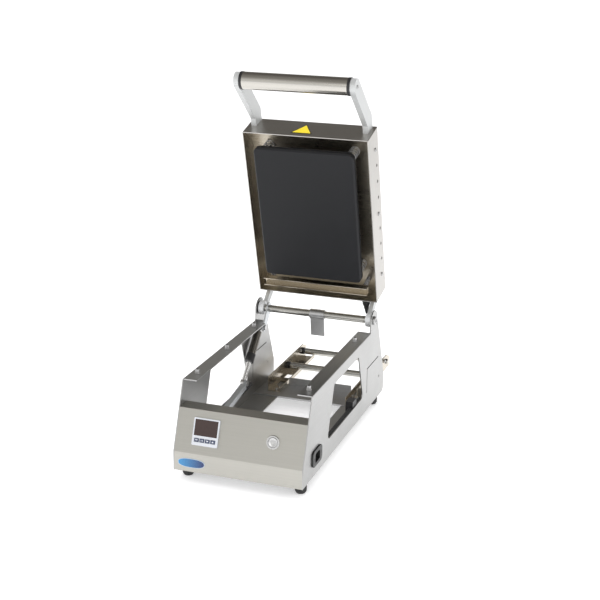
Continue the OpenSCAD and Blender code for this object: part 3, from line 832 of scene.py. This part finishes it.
by_slot = {
    "stainless_brushed": "lid_steel", "carrier_steel": "rail_steel", "polished_steel": "polished_bar",
    "fastener_steel": "turned_steel", "spring_steel": "spring_wire", "satin_aluminium": "blasted_aluminium",
    "button_steel": "button_steel", "coated_plate": "coated_plate", "boss_steel": "turned_steel",
    "clamp_steel": "clamp_steel", "flap_steel": "turned_steel", "dark_chrome": "dark_chrome",
    "black_plastic": "black_plastic", "rubber_feet": "foot_rubber", "bezel_plastic": "bezel_plastic",
    "display": "display_window", "keys": "key_plastic", "contact_brass": "contact_metal",
    "badge_blue": "badge_enamel", "label_yellow": "label_foil",
}
own_material = {
    "hinge_collars": "collar_white", "anchor_bar": "bar_silver", "lid_inner_plate": "lid_inside",
    "handle_tube": "handle_steel", "crank_lug": "bar_silver", "spring_rod": "rod_chrome",
}
round_edge = {
    "heater_plate": 0.8 * mm, "hinge_collars": 0.7 * mm, "handle_tube": 0.5 * mm,
    "handle_arm_left": 0.8 * mm, "handle_arm_right": 0.8 * mm, "lid_arm_left": 0.6 * mm,
    "lid_arm_right": 0.6 * mm, "spring_caps": 0.5 * mm, "controller_housing": 0.35 * mm,
}
for node in frame["nodes"]:
    if node not in replaced_nodes:
        soften(node, own_material.get(node, by_slot[node_slot[node]]), round_edge.get(node, 0.25 * mm))

# ---------------------------------------------------------------- floor, light and camera


def make_floor():
    """Pale studio floor, partly lit from within so that it stays pale far behind the machine."""
    mesh = bpy.data.meshes.new("studio_floor")
    half = 30.0
    outline = [(-half, -half, 0), (half, -half, 0), (half, half, 0), (-half, half, 0)]
    mesh.from_pydata(outline, [], [(0, 1, 2, 3)])
    floor = bpy.data.objects.new("studio_floor", mesh)
    scene.collection.objects.link(floor)
    material, tree, shader = node_tree("floor_paint")
    shader.inputs["Base Color"].default_value = (0.86, 0.86, 0.865, 1)
    shader.inputs["Roughness"].default_value = 0.95
    shader.inputs["Specular IOR Level"].default_value = 0.1
    shader.inputs["Emission Color"].default_value = (1, 1, 1, 1)
    shader.inputs["Emission Strength"].default_value = 0.35
    mesh.materials.append(material)


def area_light(name, at, towards, size, power, mirrored=True, tint=(1, 1, 1)):
    """Soft rectangular light aimed at a point."""
    data = bpy.data.lights.new(name, "AREA")
    data.shape = "RECTANGLE"
    data.size, data.size_y = size
    data.energy = power
    data.color = tint
    light = bpy.data.objects.new(name, data)
    light.visible_glossy = mirrored
    light.location = at
    light.rotation_euler = (Vector(towards) - Vector(at)).to_track_quat("-Z", "Y").to_euler()
    scene.collection.objects.link(light)


def make_world():
    """White for the camera and diffuse light. The steel mirrors a pale front and a darker top and back."""
    world = bpy.data.worlds.new("studio")
    scene.world = world
    world.use_nodes = True
    tree = world.node_tree
    background = tree.nodes["Background"]
    place = tree.nodes.new("ShaderNodeTexCoord")
    split = tree.nodes.new("ShaderNodeSeparateXYZ")
    # Colours from the horizon up, as (height, colour)
    in_front = (
        (0.0, (0.9, 0.9, 0.9)), (0.2, (0.86, 0.86, 0.85)),
        (0.45, (0.7, 0.69, 0.67)), (0.8, (0.3, 0.29, 0.27)),
    )
    at_back = (
        (0.0, (0.95, 0.95, 0.95)), (0.1, (0.75, 0.75, 0.74)),
        (0.3, (0.28, 0.265, 0.24)), (0.7, (0.13, 0.12, 0.11)),
    )
    ramps = []
    for stops in (in_front, at_back):
        ramp = tree.nodes.new("ShaderNodeValToRGB")
        while len(ramp.color_ramp.elements) < len(stops):
            ramp.color_ramp.elements.new(0.5)
        for element, (position, color) in zip(ramp.color_ramp.elements, stops):
            element.position = position
            element.color = (*color, 1)
        tree.links.new(split.outputs["Z"], ramp.inputs["Fac"])
        ramps.append(ramp)
    behind = tree.nodes.new("ShaderNodeMix")
    behind.data_type = "RGBA"
    tree.links.new(spread(tree, split.outputs["Y"], 0, 1, -0.35, 0.35), behind.inputs["Factor"])
    tree.links.new(ramps[0].outputs["Color"], behind.inputs["A"])
    tree.links.new(ramps[1].outputs["Color"], behind.inputs["B"])
    rays = tree.nodes.new("ShaderNodeLightPath")
    mix = tree.nodes.new("ShaderNodeMix")
    mix.data_type = "RGBA"
    mix.inputs["A"].default_value = (1, 1, 1, 1)
    tree.links.new(place.outputs["Generated"], split.inputs["Vector"])
    tree.links.new(rays.outputs["Is Glossy Ray"], mix.inputs["Factor"])
    tree.links.new(behind.outputs["Result"], mix.inputs["B"])
    tree.links.new(mix.outputs["Result"], background.inputs["Color"])
    background.inputs["Strength"].default_value = 1.0


def make_camera():
    """The photograph's view: position in metres, then yaw, downward pitch and roll."""
    data = bpy.data.cameras.new("camera")
    data.sensor_width = 36.0
    data.lens = 76.85
    camera = bpy.data.objects.new("camera", data)
    yaw, pitch, roll = math.radians(19.03), math.radians(17.34), math.radians(0.70)
    camera.matrix_world = (
        Matrix.Translation((0.75595, -2.18837, 0.97507))
        @ Matrix.Rotation(yaw, 4, "Z")
        @ Matrix.Rotation(math.pi / 2 - pitch, 4, "X")
        @ Matrix.Rotation(roll, 4, "Z")
    )
    scene.collection.objects.link(camera)
    scene.camera = camera


make_floor()
make_world()
make_camera()
area_light("overhead", (0.1, 0.7, 2.6), (0, 0, 0.2), (2.4, 2.0), 22, mirrored=False)
area_light("left_soft", (-2.2, -0.6, 1.3), (0, 0, 0.3), (1.4, 1.8), 7)
area_light("right_soft", (2.4, -0.4, 1.1), (0, 0, 0.3), (1.2, 1.6), 8)
area_light("front_fill", (0.3, -2.9, 1.7), (0, 0, 0.3), (2.0, 1.2), 9)
scene.view_settings.view_transform = "Standard"
